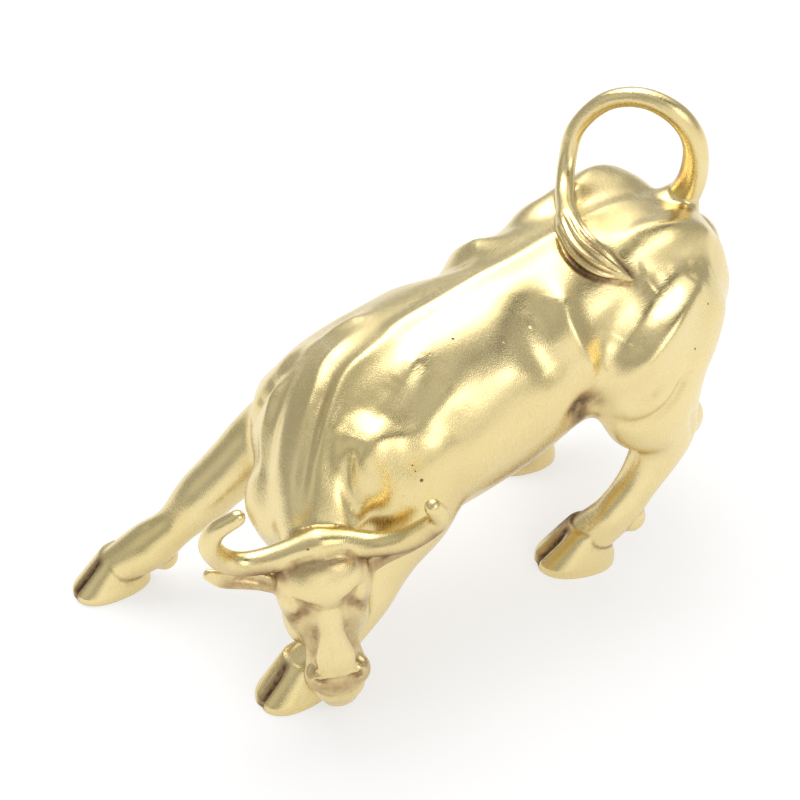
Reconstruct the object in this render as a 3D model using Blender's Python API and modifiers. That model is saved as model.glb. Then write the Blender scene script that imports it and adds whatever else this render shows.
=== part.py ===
# A cast brass bull, braced on spread forelegs with its head down and its tail looped over the croup.
# It is one casting, so it is one solid. Metres, +Z up, the bull faces -Y and stands on z = 0.

import math

import bmesh
import bpy
import numpy as np
from mathutils import Matrix, Vector
from mathutils.bvhtree import BVHTree

# Driving sizes, in metres
BODY_LENGTH = 0.150
TAIL_DIAMETER = 0.0062
HORN_DIAMETER = 0.0068

# The pose is written for a body 150 mm long and scaled from that
SHARE = BODY_LENGTH / 0.150
RING_SIDES = 28
STEPS_PER_SPAN = 6
FACE_TARGET = 9600
SOLE_DEPTH = 0.8
RIDGE_EDGE = 0.85
LEG_START = (0.76, 0.9)

# Trunk: x, y, z, half width, height above and depth below that line
TRUNK = (
    (30, 90, 84, 12, 10, 14),
    (31, 82, 82, 25, 21.5, 26),
    (30, 64, 80, 33, 29, 30),
    (30, 45, 79, 32, 29.5, 31),
    (29, 25, 76, 31, 29.5, 31.5),
    (28.5, 5, 72, 32, 29.5, 34),
    (25, -15, 67, 34.5, 30, 33),
    (22.5, -32, 62, 33.5, 29, 31),
    (24, -46, 57, 30, 25, 27),
    (26, -58, 53, 16, 15, 17),
)
NECK = (
    (22, -24, 66, 27, 26, 26),
    (25, -38, 66, 25, 23, 24),
    (33, -51, 63, 19, 17, 21),
    (41, -60, 57, 14, 12, 15),
    (46, -65, 52, 11, 8, 12),
)
# Legs: x, y, z, half width, then the reach forward and back of that line
LEFT_FORELEG = (
    (47, -26, 70, 12, 17, 17),
    (48, -33, 52, 12, 19.5, 14),
    (48, -42, 40, 9.5, 12.5, 10),
    (48.5, -50, 28, 7.5, 8, 8),
    (48, -57.5, 18, 6, 6.5, 6.5),
    (46.5, -64, 12, 6.5, 6.5, 7),
    (44.4, -72, 7.2, 6.4, 6.3, 6.4),
)
RIGHT_FORELEG = (
    (0, -28, 62, 12, 19, 19),
    (-8, -42, 50, 10, 13, 13),
    (-11, -53, 40, 9.5, 11, 11),
    (-14.5, -64.5, 30, 8.5, 9.5, 9),
    (-17.5, -74, 21, 6.5, 7, 7),
    (-21, -82, 14.5, 7.6, 7.6, 8),
    (-26.8, -91.5, 7.2, 6.1, 6.1, 6.4),
)
LEFT_HIND_LEG = (
    (50, 58, 86, 14, 26, 26),
    (57, 50, 70, 14, 21, 22),
    (60, 50, 56, 12, 18, 17),
    (61, 53, 45, 9, 10.5, 14),
    (61.3, 51.5, 37.5, 7.5, 8.5, 9.5),
    (60.5, 45.5, 27, 6.2, 7.2, 6.6),
    (58.8, 39.5, 18, 6.4, 8.6, 7.4),
    (54.6, 33, 9.5, 7.2, 7.2, 7.2),
)
RIGHT_HIND_LEG = (
    (8, 62, 86, 14, 26, 26),
    (3, 66, 70, 14, 20, 22),
    (2, 72, 56, 12, 15, 16),
    (3, 80, 44, 9, 11, 12),
    (4, 78, 36, 7.5, 8.5, 9),
    (4, 70, 26, 6, 6.5, 6.5),
    (5, 61, 18, 6.6, 7.2, 7.2),
    (5.1, 52.5, 9.5, 7.2, 7.2, 7.2),
)
LEGS = (LEFT_FORELEG, RIGHT_FORELEG, LEFT_HIND_LEG, RIGHT_HIND_LEG)
# Hooves: toe x and y, the heading of the heel from the toe, length, width, height
HOOVES = (
    ((44, -86), (0.02, 1.0), 25, 18.5, 12.5),
    ((-28.5, -105.2), (0.10, 0.99), 25, 17, 12),
    ((47.5, 17.3), (0.40, 0.92), 25.5, 20, 13.5),
    ((0, 36), (0.30, 0.95), 25, 20, 13.5),
)
# Muscle masses: centre, radii to the side, along and up, then the way they run
MUSCLES = (
    ((43, 60, 91), (15, 27, 18), (0.1, -1, -0.1), 2),
    ((16, 57, 92), (16, 29, 19.5), (-0.1, -1, -0.1), 2),
    ((43, 76.5, 82), (11.5, 13, 19), (0, -1, 0), 2.4),
    ((18, 79, 82), (11, 13, 18), (0, -1, 0), 2),
    ((56, 50, 74), (13, 23, 23), (0.1, -1, -0.2), 2.2),
    ((5, 58, 74), (13, 23, 23), (-0.1, -1, -0.2), 2.2),
    ((43.8, -39.5, 62), (13.2, 13.5, 24), (0.2, -1, -0.3), 2.4, (-0.28, 0, 1)),
    ((3, -36, 58), (13.5, 15, 20), (-0.2, -1, -0.4), 2.6),
    ((24, -58, 48), (17, 12, 16), (0, -1, 0), 2),
)
# Smaller ones that stay crisp: the points of the hocks and the dewclaws
KNOBS = (
    ((62, 64, 45.5), (4.2, 5.6, 7), (0, -1, 0), 2),
    ((4, 89, 43), (4, 5, 6), (0, -1, 0), 2),
    ((40.5, -59, 12.5), (2.9, 3.2, 3.8), (0, -1, 0), 2),
    ((49.5, -59, 12.5), (2.9, 3.2, 3.8), (0, -1, 0), 2),
    ((-18, -78.2, 10.2), (3.6, 4.4, 4.6), (0, -1, 0), 2),
    ((-25.5, -78.6, 10), (3.4, 4.2, 4.2), (0, -1, 0), 2),
    ((62.4, 43.6, 16), (3.6, 4.4, 5), (0, -1, 0), 2),
    ((54.5, 45.5, 15.5), (2.9, 3.2, 3.8), (0, -1, 0), 2),
    ((11, 63.5, 15), (2.9, 3.2, 3.8), (0, -1, 0), 2),
    ((3, 65, 15), (2.9, 3.2, 3.8), (0, -1, 0), 2),
)
TAIL = (
    (32, 81.5, 100, 1.8),
    (36, 83.3, 112, 1.45),
    (38.3, 80, 126, 1.2),
    (35, 75, 135.5, 1.1),
    (26.5, 69, 139.5, 1.0),
    (17.5, 63, 136.5, 0.95),
    (11.5, 57.5, 127, 0.9),
    (12.5, 53.5, 117, 0.9),
    (18.5, 47.5, 111.5, 0.95),
    (29, 40, 110, 1.15),
    (38.5, 36.5, 107.5, 1.6),
    (46, 38, 104, 1.6),
    (53, 43.5, 101, 0.5),
)
# Where the tail leaves the croup it swells softly
TAIL_ROOT = (
    (29, 74, 93, 2.8),
    (32, 81.5, 101, 2.4),
    (34.5, 83.3, 107.5, 1.5),
)
TAIL_UP = (0.3, -1, 0.2)
# Head: its own frame, from the poll down the face
POLL = Vector((57, -71.5, 60))
MUZZLE = Vector((66.5, -72.5, 17))
FACE_TURN = math.radians(64)
# Down the face, out from it, half width, reach in front and behind
HEAD = (
    (1, -7, 11.5, 6, 9),
    (8, -7, 13, 6.6, 12),
    (15, -8, 13.5, 6.8, 13),
    (22, -9.5, 12, 6.8, 13),
    (29, -10.5, 9.4, 6, 11),
    (35, -10.5, 8, 5.6, 9),
    (40, -10, 8.6, 6.2, 8),
    (45, -10, 8.8, 6.4, 7.5),
    (50, -10.5, 7.4, 5.4, 6.5),
    (53, -11, 5.4, 3.4, 4.5),
)
# The ridge of the nose, which widens to a square lip
NOSE = (
    (12, -5, 5, 3.8, 4),
    (18, -4.6, 4.4, 4.0, 5),
    (26, -5, 4.3, 4.0, 5),
    (32, -5.4, 5.2, 4.0, 5),
    (37, -6.1, 6.4, 4.1, 5),
    (40.5, -7, 6.6, 3.6, 4),
)
# Rounded masses of the head: side, down, out, then their radii; the ones off the middle come twice
FACE_MASSES = (
    (0, 9, -5.2, 11.6, 10, 7),
    (8.6, 15, -5, 3, 5, 3.4),
    (5.8, 42.6, -7.8, 3.9, 4.8, 4.2),
    (8, 26, -15, 4.5, 9, 6),
)
# Horns: out to the side, down the face, out from it, share of the diameter
LEFT_HORN = (
    (0, -1.2, -6, 1.42),
    (8, 0.2, -6, 1.25),
    (15.7, 1.0, -3.5, 1.08),
    (23.2, -1.1, 0.5, 1.05),
    (28, -4.9, 4.3, 1.0),
    (32.2, -10.6, 8.7, 0.86),
    (30.1, -16.8, 12.9, 0.72),
)
RIGHT_HORN = (
    (0, -1.2, -6, 1.42),
    (8, 0.2, -6, 1.25),
    (15, 0.8, -6, 1.1),
    (21.5, 0, -5.5, 1.02),
    (26.5, -4, -3.5, 1.0),
    (28.8, -11.5, 1, 0.93),
    (26.4, -17, 3.5, 0.82),
    (20.5, -21, 6, 0.7),
)
EAR = (
    (12, 11, -9.5, 3.2, 2.6, 2.6),
    (17, 8.4, -9, 3.2, 2.1, 2.1),
    (22, 6.4, -8.3, 3.3, 1.7, 1.7),
    (27, 4.8, -7.8, 3.0, 1.5, 1.5),
    (31, 2.2, -7.5, 1.8, 1.2, 1.2),
)
# Lines worked into the surface: width, height (below zero is a groove), points near the surface
MIDDLE_LINES = (
    (3.4, 1.3, ((31, 76, 105), (30, 60, 109.5), (29, 40, 109), (29, 21, 105), (27, 8, 102.5), (26, -6, 99.7),
                (25, -20, 96.7), (26.2, -26, 95.8), (26.5, -32, 93.7), (27.3, -42, 90), (31.8, -48.7, 84.5),
                (37.2, -56.3, 78), (42.9, -62.7, 70.3), (46.7, -65, 65))),
    (2.2, -0.9, ((24.5, -41, 89.5), (27.6, -49.5, 85), (32.5, -56, 79.5), (37.5, -62.5, 72.5), (42, -67.5, 64.5))),
    (2.6, 0.8, ((15.6, -30, 92.4), (17.9, -41, 89), (23.2, -48.9, 86), (28.4, -56.6, 80.6))),
    (3.0, -0.7, ((10, -42, 85), (14, -52, 80), (19, -60.5, 73.5), (28, -68, 65))),
    (2.4, 0.8, ((8.4, -48.3, 80), (11.7, -55.7, 75.4), (14.3, -60.6, 68.5), (23.2, -68.1, 63.1))),
    (4.0, -1.5, ((5, -49.4, 79.1), (3.8, -51.9, 75.2), (3.4, -54, 70.5))),
    (5.0, -0.8, ((36, -47, 85), (39.5, -53, 79), (43.5, -58.5, 71))),
    (1.8, 0.7, ((26.4, -30, 94.3), (27, -39, 91), (30, -46, 86.8), (34, -52, 81.5), (38.5, -58, 76))),
)
# The lines below are also worked, mirrored, into the other side
SIDE_LINES = (
    (2.2, -1.2, ((44.5, -50.5, 83), (45.5, -53.5, 75), (48, -55.5, 68), (52, -55, 60))),
    (4.0, -0.9, ((39, -29, 90.5), (41, -37, 89), (43, -46.5, 86.5), (44.5, -50.5, 82))),
    (3.0, 1.1, ((35.6, -20.7, 94.9), (38.6, -27, 91.9), (41.5, -36, 89.8), (41, -45, 87))),
    (6.0, -0.8, ((43, -20, 92), (46.5, -28, 89.5), (48.5, -36, 88.5))),
    (4.4, 0.6, ((46.5, -17, 90), (50.5, -24, 87), (53.5, -33, 85.5), (52, -43, 85.8), (48.5, -49.5, 83))),
    (5.0, -0.5, ((52, -15, 86), (57, -22.5, 79), (58.5, -25, 70), (58, -26, 60), (56, -26, 52))),
    (3.4, 1.2, ((42, 48, 107.5), (43.5, 56, 108), (46, 64, 106), (47.5, 74, 101.5), (50, 81, 95))),
    (6.5, -2.4, ((51, 46, 103.4), (53, 53, 103), (55.5, 63, 99.8), (57, 70, 96))),
    (4.6, 2.3, ((55, 77, 94), (60.5, 66, 95.5), (64, 56, 93), (66, 49, 89.5), (67, 42, 85),
                (66, 37, 80.6), (64, 33.5, 76))),
    (7.0, -3.4, ((57, 57, 98), (59, 50, 95.6), (60, 43, 91.6), (60.3, 37, 87), (60.4, 32, 82))),
    (4.6, 2.6, ((44.5, 24, 102), (48, 21, 99.5), (52, 19.5, 95.5), (56, 20, 90), (58.8, 22, 83), (60, 26, 77))),
    (6.5, -2.0, ((43.5, 14.5, 101), (46, 11.5, 97.6), (49, 9, 94), (51.5, 8, 88), (54, 11, 82))),
    (8.0, 1.0, ((53, -6, 88), (54.2, 0, 88.5), (55, 5, 86))),
    (4.0, -1.9, ((58.5, 17.5, 66), (59, 21, 69.5), (59.5, 26.5, 66.5))),
    (2.2, -1.1, ((62, 31, 61), (66, 35, 60.5), (69.3, 39.5, 62), (70.9, 45.7, 66), (70.2, 50.3, 71), (69.3, 54, 76))),
    (3.0, 0.9, ((63, 30, 65), (68, 37, 67), (70, 43, 71))),
    (2.0, -0.6, ((70, 55.2, 58), (68.8, 59, 50), (68.3, 60, 43))),
)
# The same in the head's own frame, on both sides
FACE_LINES = (
    (1.8, -0.7, ((0, 0.6, -0.3), (5, 0.6, -1.2), (9.5, 1.6, -3.5))),
    (2.2, -0.9, ((4, 16.5, 0.6), (7, 15, -0.4), (9.5, 12.5, -1.6))),
    (2.6, -1.3, ((6.5, 17, -1), (8.3, 19.5, -2.5), (10.8, 22, -6.5))),
    (2.6, -0.7, ((5.6, 22, -2.5), (5.8, 28, -4), (7.4, 33, -6), (8.8, 36.5, -7.5))),
    (1.3, -0.6, ((9.5, 43, -10), (8.5, 47, -7.6), (4.5, 49, -5.4), (0, 49.4, -5))),
)
# The cleft between the claws of each hoof: width and height, in the order of the hooves
CLEFTS = ((1.2, -1.4), (0.8, -0.5), (1.5, -1.6), (1.2, -1.4))
# From the frame the landmarks were measured in to the origin under the middle of the box
OFFSET = (-22.28, 2.72, 0)


def catmull_rom(rows, per_span=STEPS_PER_SPAN):
    """Points of a smooth curve through the rows, each row a point with its radii."""
    rows = np.array(rows, float)
    padded = np.vstack([2 * rows[0] - rows[1], rows, 2 * rows[-1] - rows[-2]])
    made = []
    for i in range(1, len(padded) - 2):
        a, b, c, d = padded[i - 1 : i + 3]
        for t in np.arange(per_span) / per_span:
            bend = (2 * a - 5 * b + 4 * c - d) * t**2 + (3 * b - a - 3 * c + d) * t**3
            made.append(0.5 * (2 * b + (c - a) * t + bend))
    made.append(rows[-1])
    return np.array(made)


def loft(bm, stations, up=(0, 0, 1), sides=RING_SIDES):
    """Adds a closed tube with oval sections. Radii are to the side, towards up and away from up."""
    rows = catmull_rom(stations)
    centres, radii = rows[:, :3], np.maximum(rows[:, 3:], 0.3)
    tangents = np.gradient(centres, axis=0)
    last = len(rows) - 1
    round_end = [(math.sin(a), math.cos(a)) for a in np.radians((28, 55, 80))]
    plan = [(0, -out, shrink) for out, shrink in reversed(round_end)]
    plan += [(i, 0.0, 1.0) for i in range(len(rows))]
    plan += [(last, out, shrink) for out, shrink in round_end]
    rings = []
    for i, forward, shrink in plan:
        t = Vector(tangents[i]).normalized()
        side = t.cross(Vector(up)).normalized()
        rise = side.cross(t)
        s, u, d = radii[i][0], radii[i][1 % radii.shape[1]], radii[i][-1]
        c = Vector(centres[i]) + t * forward * min(s, u, d)
        ring = []
        for a in np.linspace(0, 2 * math.pi, sides, endpoint=False):
            across, high = s * math.cos(a), math.sin(a)
            ring.append(bm.verts.new(c + (side * across + rise * (u if high > 0 else d) * high) * shrink))
        rings.append(ring)
    for low, high in zip(rings, rings[1:]):
        for k in range(sides):
            after = (k + 1) % sides
            bm.faces.new((low[k], low[after], high[after], high[k]))
    bm.faces.new(rings[0][::-1])
    bm.faces.new(rings[-1])


def lump(bm, centre, radii, along=(0, -1, 0), fullness=2, up=(0, 0, 1)):
    """Adds an ellipsoid, or a squarer one where fullness is over 2. Radii are to the side, along and up."""
    a = Vector(along).normalized()
    s = a.cross(Vector(up)).normalized()
    turn = Matrix((s, a, s.cross(a))).transposed().to_4x4()
    place = Matrix.Translation(centre) @ turn @ Matrix.Diagonal((*radii, 1))
    for vert in bmesh.ops.create_uvsphere(bm, u_segments=24, v_segments=16, radius=1)["verts"]:
        swell = sum(abs(c) ** fullness for c in vert.co) ** (-1 / fullness)
        vert.co = place @ (vert.co * swell)


def head_frame():
    """Left, down the face and out from it, as the columns of a matrix placed at the poll."""
    down = (MUZZLE - POLL).normalized()
    out = Vector((math.sin(FACE_TURN), -math.cos(FACE_TURN), 0))
    out = (out - down * out.dot(down)).normalized()
    left = out.cross(down)
    return Matrix.Translation(POLL) @ Matrix((left, down, out)).transposed().to_4x4()


def hoof(bm, toe, heading, length, width, height):
    """Adds a wedge whose sole reaches below the ground, the hull of its sole and its coronet."""
    heel_way = Vector((*heading, 0)).normalized()
    side = Vector((-heel_way.y, heel_way.x, 0))
    toe = Vector((*toe, 0))
    points = []
    for a in np.linspace(0, 2 * math.pi, 28, endpoint=False):
        back, across = -math.cos(a), math.sin(a)
        back, across = math.copysign(abs(back) ** 0.85, back), math.copysign(abs(across) ** 0.85, across)
        sole = heel_way * length * (0.5 + 0.5 * back) + side * width * 0.48 * across
        coronet = heel_way * length * (0.65 + 0.24 * back) + side * width * 0.34 * across
        points.append(toe + sole + Vector((0, 0, height * 0.18)))
        points.append(toe + sole - Vector((0, 0, SOLE_DEPTH)))
        points.append(toe + coronet + Vector((0, 0, height)))
    verts = [bm.verts.new(p) for p in points]
    bmesh.ops.convex_hull(bm, input=verts)


def cleft(toe, heading, length, width, height):
    """The line of the groove between the two claws, over the front of the hoof."""
    heel_way = Vector((*heading, 0)).normalized()
    toe = Vector((*toe, 0))
    rows = ((-0.01, 0.0), (0.04, 0.2), (0.2, 0.55), (0.36, 0.9))
    return [tuple(toe + heel_way * length * along + Vector((0, 0, height * high))) for along, high in rows]


def join(bm, other, place):
    """Adds another body's faces, moved into place."""
    other.transform(place)
    mesh = bpy.data.meshes.new("piece")
    other.to_mesh(mesh)
    bm.from_mesh(mesh)


def fuse(bm, voxel, passes):
    """One closed body out of overlapping ones, with the joints between them blended."""
    bmesh.ops.recalc_face_normals(bm, faces=bm.faces)
    mesh = bpy.data.meshes.new("fused")
    bm.to_mesh(mesh)
    body = bpy.data.objects.new("fused", mesh)
    bpy.context.scene.collection.objects.link(body)
    remesh = body.modifiers.new("Fuse", "REMESH")
    remesh.mode = "VOXEL"
    remesh.voxel_size = voxel
    smooth = body.modifiers.new("Blend", "SMOOTH")
    smooth.factor = 0.5
    smooth.iterations = passes
    made = bpy.data.meshes.new_from_object(body.evaluated_get(bpy.context.evaluated_depsgraph_get()))
    bpy.data.objects.remove(body)
    return made


def tail_rows(rows):
    """A line of the tail with its radius at each point."""
    return [(x, y, z, r * TAIL_DIAMETER * 500) for x, y, z, r in rows]


def torso():
    """Trunk, neck, muscles and the legs, blended softly."""
    bm = bmesh.new()
    loft(bm, TRUNK)
    loft(bm, NECK)
    for leg in LEGS:
        loft(bm, leg, up=(0, -1, 0))
    for one in MUSCLES:
        lump(bm, *one)
    loft(bm, tail_rows(TAIL_ROOT), up=TAIL_UP, sides=16)
    return fuse(bm, 1.5, 22)


def whole(voxel, passes):
    """The soft torso with the crisper legs, hooves, tail and head, blended lightly."""
    bm = bmesh.new()
    bm.from_mesh(torso())
    for leg in LEGS:
        starts = [(*row[:3], *(r * share for r in row[3:])) for row, share in zip(leg[1:3], LEG_START)]
        loft(bm, (*starts, *leg[3:]), up=(0, -1, 0))
    for one in HOOVES:
        hoof(bm, *one)
    for one in KNOBS:
        lump(bm, *one)
    loft(bm, tail_rows(TAIL), up=TAIL_UP, sides=16)
    head = bmesh.new()
    loft(head, [(0, *rest) for rest in HEAD])
    loft(head, [(0, *rest) for rest in NOSE])
    for left, tip in ((1, LEFT_HORN), (-1, RIGHT_HORN)):
        horn = [(left * x, y, z, r * HORN_DIAMETER * 500) for x, y, z, r in tip]
        loft(head, horn, up=(0, 0, 1), sides=16)
        loft(head, [(left * x, *rest) for x, *rest in EAR])
        for x, down, out, *radii in FACE_MASSES:
            if x or left == 1:
                lump(head, (left * x, down, out), radii, (0, 1, 0))
    join(bm, head, head_frame())
    return fuse(bm, voxel, passes)


def mirrored(points):
    """The same points on the bull's other side, about the trunk's own middle line."""
    ys = [row[1] for row in reversed(TRUNK)]
    xs = [row[0] for row in reversed(TRUNK)]
    return [(2 * np.interp(y, ys, xs) - x, y, z) for x, y, z in points]


def line_share(tree, places, facing, width, edge, points):
    """The vertices near a line drawn on the surface, and from 0 to 1 how much each belongs to it."""
    found = [tree.find_nearest(Vector(step))[:2] for step in catmull_rom(points, 4)]
    spots = np.array([spot for spot, _ in found])
    ways = np.array([way for _, way in found])
    low, high = spots.min(axis=0) - 2.5 * width, spots.max(axis=0) + 2.5 * width
    near = np.flatnonzero(np.all((places > low) & (places < high), axis=1))
    share = np.zeros(len(near))
    for i in range(len(spots) - 1):
        run = spots[i + 1] - spots[i]
        away = places[near] - spots[i]
        along = np.clip(away @ run / max(run @ run, 1e-9), 0, 1)
        gap = np.sum((away - along[:, None] * run) ** 2, axis=1)
        way = ways[i] + along[:, None] * (ways[i + 1] - ways[i])
        turned = np.clip(2 * np.sum(facing[near] * way, axis=1), 0, 1)
        reached = (i + along) / (len(spots) - 1)
        ends = np.clip(0.15 + 4 * np.minimum(reached, 1 - reached), 0, 1)
        share = np.maximum(share, np.exp(-((gap / width**2) ** edge)) * turned * ends)
    return near, share


def in_head(points, left=1):
    """Points of the head's own frame in the body's, on either side."""
    return [tuple(head_frame() @ Vector((left * x, y, z))) for x, y, z in points]


def all_lines():
    """Every worked line, on the body, the head and the hooves."""
    lines = list(MIDDLE_LINES) + list(SIDE_LINES)
    lines += [(width, height, mirrored(points)) for width, height, points in SIDE_LINES]
    lines += [(width, height, in_head(points, left)) for left in (1, -1) for width, height, points in FACE_LINES]
    return lines + [(*size, cleft(*one)) for size, one in zip(CLEFTS, HOOVES)]


def work_lines(mesh, lines):
    """Raises or sinks the surface along each line."""
    tree = BVHTree.FromPolygons([v.co[:] for v in mesh.vertices], [p.vertices[:] for p in mesh.polygons])
    places = vertex_array(mesh, "co")
    facing = vertex_array(mesh, "normal")
    for width, height, points in lines:
        near, share = line_share(tree, places, facing, width, RIDGE_EDGE if height > 0 else 1.0, points)
        places[near] += facing[near] * (height * share)[:, None]
    mesh.vertices.foreach_set("co", places.ravel())
    mesh.update()


def vertex_array(mesh, name):
    """One row of three numbers a vertex."""
    values = np.empty(len(mesh.vertices) * 3)
    mesh.vertices.foreach_get(name, values)
    return values.reshape(-1, 3)


def fewer_faces(mesh, target):
    """The same surface in about as many triangles as asked, most of them where it bends."""
    body = bpy.data.objects.new("fine", mesh)
    bpy.context.scene.collection.objects.link(body)
    spare = body.modifiers.new("Fewer faces", "DECIMATE")
    spare.ratio = target / sum(len(p.vertices) - 2 for p in mesh.polygons)
    spare.use_collapse_triangulate = True
    made = bpy.data.meshes.new_from_object(body.evaluated_get(bpy.context.evaluated_depsgraph_get()))
    bpy.data.objects.remove(body)
    return made


def stand(mesh, reach):
    """Sets what lies within reach of the ground, or below it, flat on the ground."""
    for vert in mesh.vertices:
        if vert.co.z < reach:
            vert.co.z = 0.0
    mesh.update()


def place(mesh):
    """Moves the landmarks' frame to the part's own origin and size."""
    mesh.transform(Matrix.Diagonal((SHARE * 0.001,) * 3).to_4x4() @ Matrix.Translation(OFFSET))


def brass():
    material = bpy.data.materials.new("brass")
    material.use_nodes = True
    shader = material.node_tree.nodes["Principled BSDF"]
    shader.inputs["Base Color"].default_value = (0.72, 0.55, 0.22, 1)
    shader.inputs["Metallic"].default_value = 1.0
    shader.inputs["Roughness"].default_value = 0.3
    return material


def main():
    for old in list(bpy.data.objects):
        bpy.data.objects.remove(old)
    collection = bpy.data.collections.new("bull_sculpture")
    bpy.context.scene.collection.children.link(collection)
    mesh = whole(0.8, 6)
    work_lines(mesh, all_lines())
    stand(mesh, 0.0)
    mesh = fewer_faces(mesh, FACE_TARGET)
    stand(mesh, 0.05)
    place(mesh)
    mesh.name = "bull"
    mesh.materials.append(brass())
    mesh.shade_smooth()
    bull = bpy.data.objects.new("bull", mesh)
    collection.objects.link(bull)


main()
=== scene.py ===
# The brass bull as the photograph shows it: the casting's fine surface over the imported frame, with floor,
# light and camera. Its landmarks are those of the part's source, in millimetres, and the finished piece is
# placed in the part's frame.

import math

import bmesh
import bpy
import numpy as np
from mathutils import Matrix, Vector
from mathutils.bvhtree import BVHTree

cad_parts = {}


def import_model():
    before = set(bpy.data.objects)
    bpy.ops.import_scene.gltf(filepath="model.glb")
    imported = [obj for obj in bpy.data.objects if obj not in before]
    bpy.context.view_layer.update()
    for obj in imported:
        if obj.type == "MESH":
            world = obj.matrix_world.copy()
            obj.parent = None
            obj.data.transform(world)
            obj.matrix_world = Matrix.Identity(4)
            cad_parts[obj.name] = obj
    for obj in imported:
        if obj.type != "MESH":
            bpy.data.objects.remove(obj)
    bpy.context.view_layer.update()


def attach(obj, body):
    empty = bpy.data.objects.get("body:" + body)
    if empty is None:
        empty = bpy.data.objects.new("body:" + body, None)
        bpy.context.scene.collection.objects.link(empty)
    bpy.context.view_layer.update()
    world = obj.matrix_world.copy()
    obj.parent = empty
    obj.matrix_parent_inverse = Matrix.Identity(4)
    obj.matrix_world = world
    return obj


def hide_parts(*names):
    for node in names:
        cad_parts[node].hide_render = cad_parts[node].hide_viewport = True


# Camera
VIEW_AZIMUTH = 52.0
VIEW_ELEVATION = 38.0
VIEW_ANGLE = 24.0
VIEW_DISTANCE = 0.58808
VIEW_TARGET = (-0.02228, 0.00272, 0.045)
# Soft boxes: name, the way to them, distance, size, power; and the point they all face
SOFT_BOXES = (
    ("key", (-0.42, 0.18, 0.88), 0.8, (0.6, 0.5), 2.2),
    ("right", (0.78, 0.22, 0.58), 0.8, (0.4, 0.35), 0.7),
)
LIGHT_AIM = (0, 0, 0.07)
# The studio's brightness, then its lighter and darker parts: the way to each, how far from there it is full
# and how far away it ends, in degrees, and how much it adds
STUDIO_LEVEL = 0.48
STUDIO_PARTS = (
    ((-0.45, 0.30, 0.84), 14, 46, 1.05),
    ((0.80, 0.15, 0.50), 8, 34, 0.42),
    ((0.98, 0.10, -0.05), 10, 50, 0.24),
    ((0.28, 0.33, 0.88), 5, 22, -0.34),
    ((0.82, -0.56, 0.16), 8, 28, 0.55),
    ((-0.75, -0.60, 0.10), 15, 50, -0.04),
    ((-0.20, -0.80, 0.57), 8, 28, 0.22),
    ((0.25, -0.25, 0.93), 6, 22, 0.14),
)
FLOOR_SIZE = 8.0
FLOOR_TONE = 0.42
FLOOR_GLOW = 0.62
# Brass where it is polished, and the patina that the recesses keep; its tan and brown also paint shade on
# the undersides
BRASS_WARM = (0.755, 0.605, 0.25, 1)
BRASS_PALE = (0.82, 0.675, 0.335, 1)
BRASS_SCRATCH = (0.93, 0.80, 0.52, 1)
PATINA_AND_SHADE_TAN = (0.44, 0.30, 0.15, 1)
PATINA_AND_SHADE_BROWN = (0.09, 0.05, 0.025, 1)
# Roughness of the polish from smooth to scratched, what full patina adds to it, and the surface's bump
POLISH_ROUGHNESS = (0.17, 0.28)
PATINA_ROUGHNESS = 0.28
BUMP_STRENGTH = 0.75
BUMP_DEPTH = 0.00016
# Brush strokes in three directions: how close they lie along each axis, and how the axes are turned
STROKES = (
    ((260, 3200, 3200), (0.3, 0.5, 0.9)),
    ((2600, 240, 2600), (0.2, 0.7, 0.4)),
    ((3000, 3000, 280), (0.6, 0.2, 0.3)),
)
SCRATCH_SHARE = 0.45
# Scattered casting pits: cells to the metre, then the share of a cell that a pit's rim and floor take
PIT_CELLS = 210.0
PIT_SIZE = (0.09, 0.05)
PIT_DEPTH = -2.5
# Mesh of the visible casting
FINE_VOXEL = 0.5
FINE_SMOOTHING = 10
FINE_FACES = 190000
# How a hollow is found: rounds of smoothing, and the depth in millimetres that counts as full
HOLLOW_PASSES = 10
HOLLOW_DEPTH = 0.35
# Hair grooves round the tail's tuft: width, depth, angles round it in degrees
TUFT_GROOVES = (0.8, -1.0, (-15, 18, 50, 82, 114, 146, 178))
# The narrow cut in the middle of each hoof's cleft: width and depth
HOOF_CUT = (0.7, -0.8)
# Fine lines of the face, as the part's own lines
FINE_FACE_LINES = (
    (0.8, -1.0, ((6.2, 18.6, -2), (8.5, 20.2, -3.3), (11, 22.5, -7))),
    (0.8, 0.6, ((6.4, 20.4, -3), (8.5, 22, -4), (10.8, 24.4, -7.5))),
    (0.9, 0.7, ((5.8, 16.8, -1), (8.5, 18.2, -2.3), (11.2, 20.5, -6))),
    (1.0, -1.1, ((3.6, 42.8, -2.4), (5.6, 42.2, -2.6), (7.4, 41.4, -4))),
    (0.9, 0.6, ((0, 41.6, -1.6), (4, 41.4, -1.8), (7.8, 40.2, -3))),
    (1.2, -0.9, ((7.2, 36.5, -5.5), (8, 39.5, -4.8))),
    (1.0, -0.9, ((15, 9.2, -7), (20, 6.4, -6.6), (25, 4.6, -6.2))),
)
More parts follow.
